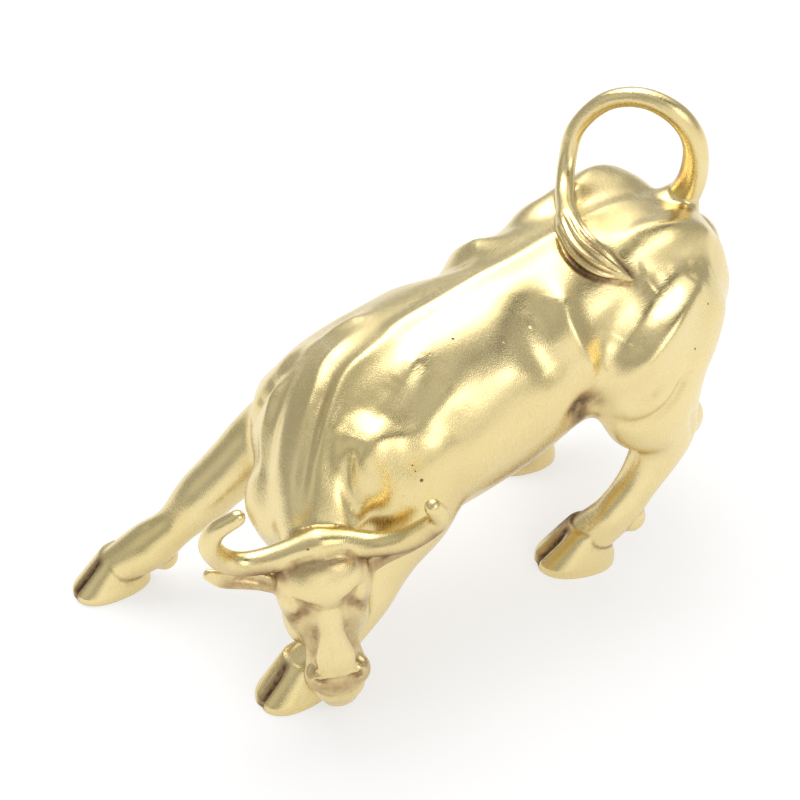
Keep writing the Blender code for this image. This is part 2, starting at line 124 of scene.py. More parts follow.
# Where the brown stayed: width, strength, line
STAINS = (
    (4.5, 0.6, ((31, 81, 99), (33, 85, 103), (34, 86, 108))),
    (3.0, 0.45, ((34, 78, 113), (35.5, 77, 125), (33, 73, 133))),
    (2.5, 0.5, ((29, 40, 108), (38.5, 36, 104), (46, 39, 101))),
    (5.0, 0.75, ((43, 27, 10), (46, 31, 14), (49, 36, 20))),
    (4.5, 0.75, ((51, 44, 28), (53, 48, 36), (55, 49, 42))),
    (6.0, 0.7, ((-4, 47, 3), (2, 40, 8), (8, 44, 8))),
    (3.5, 0.7, ((57, 23, 62), (58.5, 21, 66), (60, 20, 71))),
)
FACE_STAINS = (
    (3.0, 0.34, ((7, 18, -2), (10, 20.5, -4), (12, 23, -8))),
    (3.0, 0.26, ((6.5, 24, -3), (8, 30, -6), (9, 36, -8))),
    (3.2, 0.36, ((0, 45, -3), (5, 44.5, -4), (9, 42, -9))),
    (2.6, 0.6, ((12, 5, -3.8), (20, 5.2, -3.2), (28, 1.8, -0.5), (33.5, -5, 3))),
    (2.8, 0.95, ((14, 4.6, -2.4), (20, 3.6, -0.5), (27, 0.2, 3.2), (32, -6, 7))),
    (2.6, 0.45, ((14, 10, -7), (20, 8, -6.5), (26, 6.5, -6))),
    (2.0, 0.35, ((0, 2.5, -0.5), (6, 3, -1.5), (11, 4, -4))),
)
# Casting pits that the photograph shows: place and reach
PITS = (
    ((56.9, -36.9, 69.6), 0.6),
    ((54.6, -38.3, 74.2), 0.3),
    ((55.5, -38, 72.5), 0.28),
    ((53.4, -73.4, 61.9), 0.4),
)
# Stain in the tuft's grooves, and the width and strength of it in the hooves' clefts
TUFT_STAIN = 0.75
CLEFT_STAIN = (1.6, 0.9)
# What a hollow keeps anywhere, how strongly hollows stain, how dark the painted shade on the undersides is,
# and how steeply down an underside has to face before the painted shade starts
KEPT_ANYWHERE = 0.12
HOLLOW_STAIN = 0.8
UNDERSIDE_SHADE = 0.3
UNDERSIDE_START = 0.2
# Where hollows keep more of their brown: middle, reach and strength
DARK_HOLLOWS = (
    ((62, -70, 38), 34, 0.42),
    ((46, 38, 104), 11, 0.8),
    ((44, -72, 4), 22, 1.0),
    ((-25, -90, 4), 24, 0.8),
    ((52, 32, 4), 24, 1.0),
    ((5, 52, 4), 24, 1.0),
    ((59, 22, 67), 8, 0.8),
)

# Driving sizes, in metres
BODY_LENGTH = 0.150
TAIL_DIAMETER = 0.0062
HORN_DIAMETER = 0.0068

# The pose is written for a body 150 mm long and scaled from that
SHARE = BODY_LENGTH / 0.150
# Half of a diameter in metres is this many times as many millimetres
HALF_IN_MM = 500
RING_SIDES = 28
STEPS_PER_SPAN = 6
# How the torso's masses are blended: voxel in millimetres and rounds of smoothing
TORSO_BLEND = (1.5, 22)
SOLE_DEPTH = 0.8
RIDGE_EDGE = 0.85
# How many widths to either side a worked line is followed
LINE_REACH = 2.5
LEG_START = (0.76, 0.9)

# Trunk: x, y, z, half width, height above and depth below that line
TRUNK = (
    (30, 90, 84, 12, 10, 14),
    (31, 82, 82, 25, 21.5, 26),
    (30, 64, 80, 33, 29, 30),
    (30, 45, 79, 32, 29.5, 31),
    (29, 25, 76, 31, 29.5, 31.5),
    (28.5, 5, 72, 32, 29.5, 34),
    (25, -15, 67, 34.5, 30, 33),
    (22.5, -32, 62, 33.5, 29, 31),
    (24, -46, 57, 30, 25, 27),
    (26, -58, 53, 16, 15, 17),
)
NECK = (
    (22, -24, 66, 27, 26, 26),
    (25, -38, 66, 25, 23, 24),
    (33, -51, 63, 19, 17, 21),
    (41, -60, 57, 14, 12, 15),
    (46, -65, 52, 11, 8, 12),
)
# Legs: x, y, z, half width, then the reach forward and back of that line
LEFT_FORELEG = (
    (47, -26, 70, 12, 17, 17),
    (48, -33, 52, 12, 19.5, 14),
    (48, -42, 40, 9.5, 12.5, 10),
    (48.5, -50, 28, 7.5, 8, 8),
    (48, -57.5, 18, 6, 6.5, 6.5),
    (46.5, -64, 12, 6.5, 6.5, 7),
    (44.4, -72, 7.2, 6.4, 6.3, 6.4),
)
RIGHT_FORELEG = (
    (0, -28, 62, 12, 19, 19),
    (-8, -42, 50, 10, 13, 13),
    (-11, -53, 40, 9.5, 11, 11),
    (-14.5, -64.5, 30, 8.5, 9.5, 9),
    (-17.5, -74, 21, 6.5, 7, 7),
    (-21, -82, 14.5, 7.6, 7.6, 8),
    (-26.8, -91.5, 7.2, 6.1, 6.1, 6.4),
)
LEFT_HIND_LEG = (
    (50, 58, 86, 14, 26, 26),
    (57, 50, 70, 14, 21, 22),
    (60, 50, 56, 12, 18, 17),
    (61, 53, 45, 9, 10.5, 14),
    (61.3, 51.5, 37.5, 7.5, 8.5, 9.5),
    (60.5, 45.5, 27, 6.2, 7.2, 6.6),
    (58.8, 39.5, 18, 6.4, 8.6, 7.4),
    (54.6, 33, 9.5, 7.2, 7.2, 7.2),
)
RIGHT_HIND_LEG = (
    (8, 62, 86, 14, 26, 26),
    (3, 66, 70, 14, 20, 22),
    (2, 72, 56, 12, 15, 16),
    (3, 80, 44, 9, 11, 12),
    (4, 78, 36, 7.5, 8.5, 9),
    (4, 70, 26, 6, 6.5, 6.5),
    (5, 61, 18, 6.6, 7.2, 7.2),
    (5.1, 52.5, 9.5, 7.2, 7.2, 7.2),
)
LEGS = (LEFT_FORELEG, RIGHT_FORELEG, LEFT_HIND_LEG, RIGHT_HIND_LEG)
# Hooves: toe x and y, the heading of the heel from the toe, length, width, height
HOOVES = (
    ((44, -86), (0.02, 1.0), 25, 18.5, 12.5),
    ((-28.5, -105.2), (0.10, 0.99), 25, 17, 12),
    ((47.5, 17.3), (0.40, 0.92), 25.5, 20, 13.5),
    ((0, 36), (0.30, 0.95), 25, 20, 13.5),
)
# Muscle masses: centre, radii to the side, along and up, then the way they run
MUSCLES = (
    ((43, 60, 91), (15, 27, 18), (0.1, -1, -0.1), 2),
    ((16, 57, 92), (16, 29, 19.5), (-0.1, -1, -0.1), 2),
    ((43, 76.5, 82), (11.5, 13, 19), (0, -1, 0), 2.4),
    ((18, 79, 82), (11, 13, 18), (0, -1, 0), 2),
    ((56, 50, 74), (13, 23, 23), (0.1, -1, -0.2), 2.2),
    ((5, 58, 74), (13, 23, 23), (-0.1, -1, -0.2), 2.2),
    ((43.8, -39.5, 62), (13.2, 13.5, 24), (0.2, -1, -0.3), 2.4, (-0.28, 0, 1)),
    ((3, -36, 58), (13.5, 15, 20), (-0.2, -1, -0.4), 2.6),
    ((24, -58, 48), (17, 12, 16), (0, -1, 0), 2),
)
# Smaller ones that stay crisp: the points of the hocks and the dewclaws
KNOBS = (
    ((62, 64, 45.5), (4.2, 5.6, 7), (0, -1, 0), 2),
    ((4, 89, 43), (4, 5, 6), (0, -1, 0), 2),
    ((40.5, -59, 12.5), (2.9, 3.2, 3.8), (0, -1, 0), 2),
    ((49.5, -59, 12.5), (2.9, 3.2, 3.8), (0, -1, 0), 2),
    ((-18, -78.2, 10.2), (3.6, 4.4, 4.6), (0, -1, 0), 2),
    ((-25.5, -78.6, 10), (3.4, 4.2, 4.2), (0, -1, 0), 2),
    ((62.4, 43.6, 16), (3.6, 4.4, 5), (0, -1, 0), 2),
    ((54.5, 45.5, 15.5), (2.9, 3.2, 3.8), (0, -1, 0), 2),
    ((11, 63.5, 15), (2.9, 3.2, 3.8), (0, -1, 0), 2),
    ((3, 65, 15), (2.9, 3.2, 3.8), (0, -1, 0), 2),
)
TAIL = (
    (32, 81.5, 100, 1.8),
    (36, 83.3, 112, 1.45),
    (38.3, 80, 126, 1.2),
    (35, 75, 135.5, 1.1),
    (26.5, 69, 139.5, 1.0),
    (17.5, 63, 136.5, 0.95),
    (11.5, 57.5, 127, 0.9),
    (12.5, 53.5, 117, 0.9),
    (18.5, 47.5, 111.5, 0.95),
    (29, 40, 110, 1.15),
    (38.5, 36.5, 107.5, 1.6),
    (46, 38, 104, 1.6),
    (53, 43.5, 101, 0.5),
)
# Where the tail leaves the croup it swells softly
TAIL_ROOT = (
    (29, 74, 93, 2.8),
    (32, 81.5, 101, 2.4),
    (34.5, 83.3, 107.5, 1.5),
)
TAIL_UP = (0.3, -1, 0.2)
# Head: its own frame, from the poll down the face
POLL = Vector((57, -71.5, 60))
MUZZLE = Vector((66.5, -72.5, 17))
FACE_TURN = math.radians(64)
# Down the face, out from it, half width, reach in front and behind
HEAD = (
    (1, -7, 11.5, 6, 9),
    (8, -7, 13, 6.6, 12),
    (15, -8, 13.5, 6.8, 13),
    (22, -9.5, 12, 6.8, 13),
    (29, -10.5, 9.4, 6, 11),
    (35, -10.5, 8, 5.6, 9),
    (40, -10, 8.6, 6.2, 8),
    (45, -10, 8.8, 6.4, 7.5),
    (50, -10.5, 7.4, 5.4, 6.5),
    (53, -11, 5.4, 3.4, 4.5),
)
# The ridge of the nose, which widens to a square lip
NOSE = (
    (12, -5, 5, 3.8, 4),
    (18, -4.6, 4.4, 4.0, 5),
    (26, -5, 4.3, 4.0, 5),
    (32, -5.4, 5.2, 4.0, 5),
    (37, -6.1, 6.4, 4.1, 5),
    (40.5, -7, 6.6, 3.6, 4),
)
# Rounded masses of the head: side, down, out, then their radii; the ones off the middle come twice
FACE_MASSES = (
    (0, 9, -5.2, 11.6, 10, 7),
    (8.6, 15, -5, 3, 5, 3.4),
    (5.8, 42.6, -7.8, 3.9, 4.8, 4.2),
    (8, 26, -15, 4.5, 9, 6),
)
# Horns: out to the side, down the face, out from it, share of the diameter
LEFT_HORN = (
    (0, -1.2, -6, 1.42),
    (8, 0.2, -6, 1.25),
    (15.7, 1.0, -3.5, 1.08),
    (23.2, -1.1, 0.5, 1.05),
    (28, -4.9, 4.3, 1.0),
    (32.2, -10.6, 8.7, 0.86),
    (30.1, -16.8, 12.9, 0.72),
)
RIGHT_HORN = (
    (0, -1.2, -6, 1.42),
    (8, 0.2, -6, 1.25),
    (15, 0.8, -6, 1.1),
    (21.5, 0, -5.5, 1.02),
    (26.5, -4, -3.5, 1.0),
    (28.8, -11.5, 1, 0.93),
    (26.4, -17, 3.5, 0.82),
    (20.5, -21, 6, 0.7),
)
EAR = (
    (12, 11, -9.5, 3.2, 2.6, 2.6),
    (17, 8.4, -9, 3.2, 2.1, 2.1),
    (22, 6.4, -8.3, 3.3, 1.7, 1.7),
    (27, 4.8, -7.8, 3.0, 1.5, 1.5),
    (31, 2.2, -7.5, 1.8, 1.2, 1.2),
)
# Lines worked into the surface: width, height (below zero is a groove), points near the surface
MIDDLE_LINES = (
    (3.4, 1.3, ((31, 76, 105), (30, 60, 109.5), (29, 40, 109), (29, 21, 105), (27, 8, 102.5), (26, -6, 99.7),
                (25, -20, 96.7), (26.2, -26, 95.8), (26.5, -32, 93.7), (27.3, -42, 90), (31.8, -48.7, 84.5),
                (37.2, -56.3, 78), (42.9, -62.7, 70.3), (46.7, -65, 65))),
    (2.2, -0.9, ((24.5, -41, 89.5), (27.6, -49.5, 85), (32.5, -56, 79.5), (37.5, -62.5, 72.5),
                 (42, -67.5, 64.5))),
    (2.6, 0.8, ((15.6, -30, 92.4), (17.9, -41, 89), (23.2, -48.9, 86), (28.4, -56.6, 80.6))),
    (3.0, -0.7, ((10, -42, 85), (14, -52, 80), (19, -60.5, 73.5), (28, -68, 65))),
    (2.4, 0.8, ((8.4, -48.3, 80), (11.7, -55.7, 75.4), (14.3, -60.6, 68.5), (23.2, -68.1, 63.1))),
    (4.0, -1.5, ((5, -49.4, 79.1), (3.8, -51.9, 75.2), (3.4, -54, 70.5))),
    (5.0, -0.8, ((36, -47, 85), (39.5, -53, 79), (43.5, -58.5, 71))),
    (1.8, 0.7, ((26.4, -30, 94.3), (27, -39, 91), (30, -46, 86.8), (34, -52, 81.5), (38.5, -58, 76))),
)
# The lines below are also worked, mirrored, into the other side
SIDE_LINES = (
    (2.2, -1.2, ((44.5, -50.5, 83), (45.5, -53.5, 75), (48, -55.5, 68), (52, -55, 60))),
    (4.0, -0.9, ((39, -29, 90.5), (41, -37, 89), (43, -46.5, 86.5), (44.5, -50.5, 82))),
    (3.0, 1.1, ((35.6, -20.7, 94.9), (38.6, -27, 91.9), (41.5, -36, 89.8), (41, -45, 87))),
    (6.0, -0.8, ((43, -20, 92), (46.5, -28, 89.5), (48.5, -36, 88.5))),
    (4.4, 0.6, ((46.5, -17, 90), (50.5, -24, 87), (53.5, -33, 85.5), (52, -43, 85.8), (48.5, -49.5, 83))),
    (5.0, -0.5, ((52, -15, 86), (57, -22.5, 79), (58.5, -25, 70), (58, -26, 60), (56, -26, 52))),
    (3.4, 1.2, ((42, 48, 107.5), (43.5, 56, 108), (46, 64, 106), (47.5, 74, 101.5), (50, 81, 95))),
    (6.5, -2.4, ((51, 46, 103.4), (53, 53, 103), (55.5, 63, 99.8), (57, 70, 96))),
    (4.6, 2.3, ((55, 77, 94), (60.5, 66, 95.5), (64, 56, 93), (66, 49, 89.5), (67, 42, 85),
                (66, 37, 80.6), (64, 33.5, 76))),
    (7.0, -3.4, ((57, 57, 98), (59, 50, 95.6), (60, 43, 91.6), (60.3, 37, 87), (60.4, 32, 82))),
    (4.6, 2.6, ((44.5, 24, 102), (48, 21, 99.5), (52, 19.5, 95.5), (56, 20, 90), (58.8, 22, 83),
                (60, 26, 77))),
    (6.5, -2.0, ((43.5, 14.5, 101), (46, 11.5, 97.6), (49, 9, 94), (51.5, 8, 88), (54, 11, 82))),
    (8.0, 1.0, ((53, -6, 88), (54.2, 0, 88.5), (55, 5, 86))),
    (4.0, -1.9, ((58.5, 17.5, 66), (59, 21, 69.5), (59.5, 26.5, 66.5))),
    (2.2, -1.1, ((62, 31, 61), (66, 35, 60.5), (69.3, 39.5, 62), (70.9, 45.7, 66), (70.2, 50.3, 71),
                 (69.3, 54, 76))),
    (3.0, 0.9, ((63, 30, 65), (68, 37, 67), (70, 43, 71))),
    (2.0, -0.6, ((70, 55.2, 58), (68.8, 59, 50), (68.3, 60, 43))),
)
# The same in the head's own frame, on both sides
FACE_LINES = (
    (1.8, -0.7, ((0, 0.6, -0.3), (5, 0.6, -1.2), (9.5, 1.6, -3.5))),
    (2.2, -0.9, ((4, 16.5, 0.6), (7, 15, -0.4), (9.5, 12.5, -1.6))),
    (2.6, -1.3, ((6.5, 17, -1), (8.3, 19.5, -2.5), (10.8, 22, -6.5))),
    (2.6, -0.7, ((5.6, 22, -2.5), (5.8, 28, -4), (7.4, 33, -6), (8.8, 36.5, -7.5))),
    (1.3, -0.6, ((9.5, 43, -10), (8.5, 47, -7.6), (4.5, 49, -5.4), (0, 49.4, -5))),
)
# The cleft between the claws of each hoof: width and height, in the order of the hooves
CLEFTS = ((1.2, -1.4), (0.8, -0.5), (1.5, -1.6), (1.2, -1.4))
# From the frame the landmarks were measured in to the origin under the middle of the box
OFFSET = (-22.28, 2.72, 0)


def catmull_rom(rows, per_span=STEPS_PER_SPAN):
    """Points of a smooth curve through the rows, each row a point with its radii."""
    rows = np.array(rows, float)
    padded = np.vstack([2 * rows[0] - rows[1], rows, 2 * rows[-1] - rows[-2]])
    made = []
    for i in range(1, len(padded) - 2):
        a, b, c, d = padded[i - 1 : i + 3]
        for t in np.arange(per_span) / per_span:
            bend = (2 * a - 5 * b + 4 * c - d) * t**2 + (3 * b - a - 3 * c + d) * t**3
            made.append(0.5 * (2 * b + (c - a) * t + bend))
    made.append(rows[-1])
    return np.array(made)


def loft(bm, stations, up=(0, 0, 1), sides=RING_SIDES):
    """Adds a closed tube with oval sections. Radii are to the side, towards up and away from up."""
    rows = catmull_rom(stations)
    centres, radii = rows[:, :3], np.maximum(rows[:, 3:], 0.3)
    tangents = np.gradient(centres, axis=0)
    last = len(rows) - 1
    round_end = [(math.sin(a), math.cos(a)) for a in np.radians((28, 55, 80))]
    plan = [(0, -out, shrink) for out, shrink in reversed(round_end)]
    plan += [(i, 0.0, 1.0) for i in range(len(rows))]
    plan += [(last, out, shrink) for out, shrink in round_end]
    rings = []
    for i, forward, shrink in plan:
        t = Vector(tangents[i]).normalized()
        side = t.cross(Vector(up)).normalized()
        rise = side.cross(t)
        s, u, d = radii[i][0], radii[i][1 % radii.shape[1]], radii[i][-1]
        c = Vector(centres[i]) + t * forward * min(s, u, d)
        ring = []
        for a in np.linspace(0, 2 * math.pi, sides, endpoint=False):
            across, high = s * math.cos(a), math.sin(a)
            ring.append(bm.verts.new(c + (side * across + rise * (u if high > 0 else d) * high) * shrink))
        rings.append(ring)
    for low, high in zip(rings, rings[1:]):
        for k in range(sides):
            after = (k + 1) % sides
            bm.faces.new((low[k], low[after], high[after], high[k]))
    bm.faces.new(rings[0][::-1])
    bm.faces.new(rings[-1])


def lump(bm, centre, radii, along=(0, -1, 0), fullness=2, up=(0, 0, 1)):
    """Adds an ellipsoid, or a squarer one where fullness is over 2. Radii are to the side, along and up."""
    a = Vector(along).normalized()
    s = a.cross(Vector(up)).normalized()
    turn = Matrix((s, a, s.cross(a))).transposed().to_4x4()
    place = Matrix.Translation(centre) @ turn @ Matrix.Diagonal((*radii, 1))
    for vert in bmesh.ops.create_uvsphere(bm, u_segments=24, v_segments=16, radius=1)["verts"]:
        swell = sum(abs(c) ** fullness for c in vert.co) ** (-1 / fullness)
        vert.co = place @ (vert.co * swell)


def head_frame():
    """Left, down the face and out from it, as the columns of a matrix placed at the poll."""
    down = (MUZZLE - POLL).normalized()
    out = Vector((math.sin(FACE_TURN), -math.cos(FACE_TURN), 0))
    out = (out - down * out.dot(down)).normalized()
    left = out.cross(down)
    return Matrix.Translation(POLL) @ Matrix((left, down, out)).transposed().to_4x4()


def hoof(bm, toe, heading, length, width, height):
    """Adds a wedge whose sole reaches below the ground, the hull of its sole and its coronet."""
    heel_way = Vector((*heading, 0)).normalized()
    side = Vector((-heel_way.y, heel_way.x, 0))
    toe = Vector((*toe, 0))
    points = []
    for a in np.linspace(0, 2 * math.pi, 28, endpoint=False):
        back, across = -math.cos(a), math.sin(a)
        back, across = math.copysign(abs(back) ** 0.85, back), math.copysign(abs(across) ** 0.85, across)
        sole = heel_way * length * (0.5 + 0.5 * back) + side * width * 0.48 * across
        coronet = heel_way * length * (0.65 + 0.24 * back) + side * width * 0.34 * across
        points.append(toe + sole + Vector((0, 0, height * 0.18)))
        points.append(toe + sole - Vector((0, 0, SOLE_DEPTH)))
        points.append(toe + coronet + Vector((0, 0, height)))
    verts = [bm.verts.new(p) for p in points]
    bmesh.ops.convex_hull(bm, input=verts)


def cleft(toe, heading, length, width, height):
    """The line of the groove between the two claws, over the front of the hoof."""
    heel_way = Vector((*heading, 0)).normalized()
    toe = Vector((*toe, 0))
    rows = ((-0.01, 0.0), (0.04, 0.2), (0.2, 0.55), (0.36, 0.9))
    return [tuple(toe + heel_way * length * along + Vector((0, 0, height * high))) for along, high in rows]


def join(bm, other, place):
    """Adds another body's faces, moved into place."""
    other.transform(place)
    mesh = bpy.data.meshes.new("piece")
    other.to_mesh(mesh)
    bm.from_mesh(mesh)


def fuse(bm, voxel, passes):
    """One closed body out of overlapping ones, with the joints between them blended."""
    bmesh.ops.recalc_face_normals(bm, faces=bm.faces)
    mesh = bpy.data.meshes.new("fused")
    bm.to_mesh(mesh)
    body = bpy.data.objects.new("fused", mesh)
    bpy.context.scene.collection.objects.link(body)
    remesh = body.modifiers.new("Fuse", "REMESH")
    remesh.mode = "VOXEL"
    remesh.voxel_size = voxel
    smooth = body.modifiers.new("Blend", "SMOOTH")
    smooth.factor = 0.5
    smooth.iterations = passes
    made = bpy.data.meshes.new_from_object(body.evaluated_get(bpy.context.evaluated_depsgraph_get()))
    bpy.data.objects.remove(body)
    return made


def tail_rows(rows):
    """A line of the tail with its radius at each point."""
    return [(x, y, z, r * TAIL_DIAMETER * HALF_IN_MM) for x, y, z, r in rows]


def torso():
    """Trunk, neck, muscles and the legs, blended softly."""
    bm = bmesh.new()
    loft(bm, TRUNK)
    loft(bm, NECK)
    for leg in LEGS:
        loft(bm, leg, up=(0, -1, 0))
    for one in MUSCLES:
        lump(bm, *one)
    loft(bm, tail_rows(TAIL_ROOT), up=TAIL_UP, sides=16)
    return fuse(bm, *TORSO_BLEND)


def whole(voxel, passes):
    """The soft torso with the crisper legs, hooves, tail and head, blended lightly."""
    bm = bmesh.new()
    bm.from_mesh(torso())
    for leg in LEGS:
        starts = [(*row[:3], *(r * share for r in row[3:])) for row, share in zip(leg[1:3], LEG_START)]
        loft(bm, (*starts, *leg[3:]), up=(0, -1, 0))
    for one in HOOVES:
        hoof(bm, *one)
    for one in KNOBS:
        lump(bm, *one)
    loft(bm, tail_rows(TAIL), up=TAIL_UP, sides=16)
    head = bmesh.new()
    loft(head, [(0, *rest) for rest in HEAD])
    loft(head, [(0, *rest) for rest in NOSE])
    for left, tip in ((1, LEFT_HORN), (-1, RIGHT_HORN)):
        horn = [(left * x, y, z, r * HORN_DIAMETER * HALF_IN_MM) for x, y, z, r in tip]
        loft(head, horn, up=(0, 0, 1), sides=16)
        loft(head, [(left * x, *rest) for x, *rest in EAR])
        for x, down, out, *radii in FACE_MASSES:
            if x or left == 1:
                lump(head, (left * x, down, out), radii, (0, 1, 0))
    join(bm, head, head_frame())
    return fuse(bm, voxel, passes)


def mirrored(points):
    """The same points on the bull's other side, about the trunk's own middle line."""
    ys = [row[1] for row in reversed(TRUNK)]
    xs = [row[0] for row in reversed(TRUNK)]
    return [(2 * np.interp(y, ys, xs) - x, y, z) for x, y, z in points]


def line_share(tree, places, facing, width, edge, points):
    """The vertices near a line drawn on the surface, and from 0 to 1 how much each belongs to it."""
    found = [tree.find_nearest(Vector(step))[:2] for step in catmull_rom(points, 4)]
    spots = np.array([spot for spot, _ in found])
    ways = np.array([way for _, way in found])
    low, high = spots.min(axis=0) - LINE_REACH * width, spots.max(axis=0) + LINE_REACH * width
    near = np.flatnonzero(np.all((places > low) & (places < high), axis=1))
    share = np.zeros(len(near))
    for i in range(len(spots) - 1):
        run = spots[i + 1] - spots[i]
        away = places[near] - spots[i]
        along = np.clip(away @ run / max(run @ run, 1e-9), 0, 1)
        gap = np.sum((away - along[:, None] * run) ** 2, axis=1)
        way = ways[i] + along[:, None] * (ways[i + 1] - ways[i])
        # Nothing on a surface that faces away, and less over the last fifth at both ends of the line
        turned = np.clip(2 * np.sum(facing[near] * way, axis=1), 0, 1)
        reached = (i + along) / (len(spots) - 1)
        ends = np.clip(0.15 + 4 * np.minimum(reached, 1 - reached), 0, 1)
        share = np.maximum(share, np.exp(-((gap / width**2) ** edge)) * turned * ends)
    return near, share


def in_head(points, left=1):
    """Points of the head's own frame in the body's, on either side."""
    return [tuple(head_frame() @ Vector((left * x, y, z))) for x, y, z in points]


def all_lines():
    """Every worked line, on the body, the head and the hooves."""
    lines = list(MIDDLE_LINES) + list(SIDE_LINES)
    lines += [(width, height, mirrored(points)) for width, height, points in SIDE_LINES]
    for left in (1, -1):
        lines += [(width, height, in_head(points, left)) for width, height, points in FACE_LINES]
    return lines + [(*size, cleft(*one)) for size, one in zip(CLEFTS, HOOVES)]


def work_lines(mesh, lines):
    """Raises or sinks the surface along each line."""
    tree = BVHTree.FromPolygons([v.co[:] for v in mesh.vertices], [p.vertices[:] for p in mesh.polygons])
    places = vertex_array(mesh, "co")
    facing = vertex_array(mesh, "normal")
    for width, height, points in lines:
        near, share = line_share(tree, places, facing, width, RIDGE_EDGE if height > 0 else 1.0, points)
        places[near] += facing[near] * (height * share)[:, None]
    mesh.vertices.foreach_set("co", places.ravel())
    mesh.update()


def vertex_array(mesh, name):
    """One row of three numbers a vertex."""
    values = np.empty(len(mesh.vertices) * 3)
    mesh.vertices.foreach_get(name, values)
    return values.reshape(-1, 3)


def fewer_faces(mesh, target):
    """The same surface in about as many triangles as asked, most of them where it bends."""
    body = bpy.data.objects.new("fine", mesh)
    bpy.context.scene.collection.objects.link(body)
    spare = body.modifiers.new("Fewer faces", "DECIMATE")
    spare.ratio = target / sum(len(p.vertices) - 2 for p in mesh.polygons)
    spare.use_collapse_triangulate = True
    made = bpy.data.meshes.new_from_object(body.evaluated_get(bpy.context.evaluated_depsgraph_get()))
    bpy.data.objects.remove(body)
    return made


def stand(mesh, reach):
    """Sets what lies within reach of the ground, or below it, flat on the ground."""
    for vert in mesh.vertices:
        if vert.co.z < reach:
            vert.co.z = 0.0
    mesh.update()


def place(mesh):
    """Moves the landmarks' frame to the part's own origin and size."""
    mesh.transform(Matrix.Diagonal((SHARE * 0.001,) * 3).to_4x4() @ Matrix.Translation(OFFSET))


def hollowness(mesh, passes, reach):
    """From 0 to 1, how far each vertex lies below its surroundings."""
    places = vertex_array(mesh, "co")
    facing = vertex_array(mesh, "normal")
    edges = np.empty(len(mesh.edges) * 2, dtype=np.int64)
    mesh.edges.foreach_get("vertices", edges)
    a, b = edges.reshape(-1, 2).T
    count = np.bincount(a, minlength=len(places)) + np.bincount(b, minlength=len(places))
    smooth = places.copy()
    for _ in range(passes):
        total = np.zeros_like(smooth)
        for k in range(3):
            total[:, k] = np.bincount(a, smooth[b, k], len(places))
            total[:, k] += np.bincount(b, smooth[a, k], len(places))
        smooth = total / count[:, None]
    return np.clip(np.sum((smooth - places) * facing, axis=1) / reach, 0, 1)


def nearness(places, points, width):
    """From 0 to 1, how near each place is to a line through the points."""
    near = np.full(len(places), 1e9)
    for step in catmull_rom(points, 8):
        near = np.minimum(near, np.sum((places - np.array(step)) ** 2, axis=1))
    return np.exp(-near / width**2)


def tuft_lines():
    """Grooves along the last stretch of the tail, round the side that shows."""
    width, depth, angles = TUFT_GROOVES
    rows = np.array(tail_rows(TAIL)[-5:])
    lines = []
    for angle in np.radians(angles):
        points = []
        for i, (x, y, z, radius) in enumerate(rows):
            ahead = rows[min(i + 1, len(rows) - 1), :3] - rows[max(i - 1, 0), :3]
            side = np.cross(ahead, (0, 0, 1))
            side /= np.linalg.norm(side)
            rise = np.cross(side, ahead) / np.linalg.norm(ahead)
            outward = side * math.cos(angle) + rise * math.sin(angle)
            points.append(tuple(np.array((x, y, z)) + radius * 1.1 * outward))
        lines.append((width, depth, points[1:]))
    return lines


def fine_bull():
    """The same bull with its fine relief, in the CAD frame, with its patina and the painted shade of its
    undersides kept as one attribute.
    """
    mesh = whole(FINE_VOXEL, FINE_SMOOTHING)
    lines = all_lines() + tuft_lines()
    for left in (1, -1):
        lines += [(width, height, in_head(points, left)) for width, height, points in FINE_FACE_LINES]
    lines += [(*HOOF_CUT, cleft(*one)) for one in HOOVES]
    work_lines(mesh, lines)
    stand(mesh, 0.0)
    mesh = fewer_faces(mesh, FINE_FACES)
    places = vertex_array(mesh, "co")
    recess = hollowness(mesh, HOLLOW_PASSES, HOLLOW_DEPTH)
    stain = np.zeros(len(places))
    for width, strength, points in STAINS:
        stain = np.maximum(stain, strength * nearness(places, points, width))
    for width, strength, points in FACE_STAINS:
        for left in (1, -1):
            stain = np.maximum(stain, strength * nearness(places, in_head(points, left), width))
    for width, _, points in tuft_lines():
        stain = np.maximum(stain, TUFT_STAIN * nearness(places, points[1:], width))
    width, strength = CLEFT_STAIN
    for one in HOOVES:
        stain = np.maximum(stain, strength * nearness(places, cleft(*one), width))
    keeps = np.full(len(places), KEPT_ANYWHERE)
    for middle, reach, strength in DARK_HOLLOWS:
        away = np.sum((places - np.array(middle)) ** 2, axis=1) / reach**2
        keeps = np.maximum(keeps, strength * np.exp(-(away**2)))
    # Painted shade: the more steeply a surface faces down, the more of the patina's brown it is given
    painted_underside_shade = np.clip(-vertex_array(mesh, "normal")[:, 2] - UNDERSIDE_START, 0, 1)
    patina_and_painted_shade = np.clip(stain + HOLLOW_STAIN * recess * keeps + UNDERSIDE_SHADE * painted_underside_shade, 0, 1)
    mark = mesh.attributes.new("patina_and_painted_shade", "FLOAT", "POINT")
    mark.data.foreach_set("value", patina_and_painted_shade.astype(np.float32))
    place(mesh)
    mesh.name = "bull_casting"
    mesh.shade_smooth()
    piece = bpy.data.objects.new("bull_casting", mesh)
    bpy.context.scene.collection.objects.link(piece)
    return piece


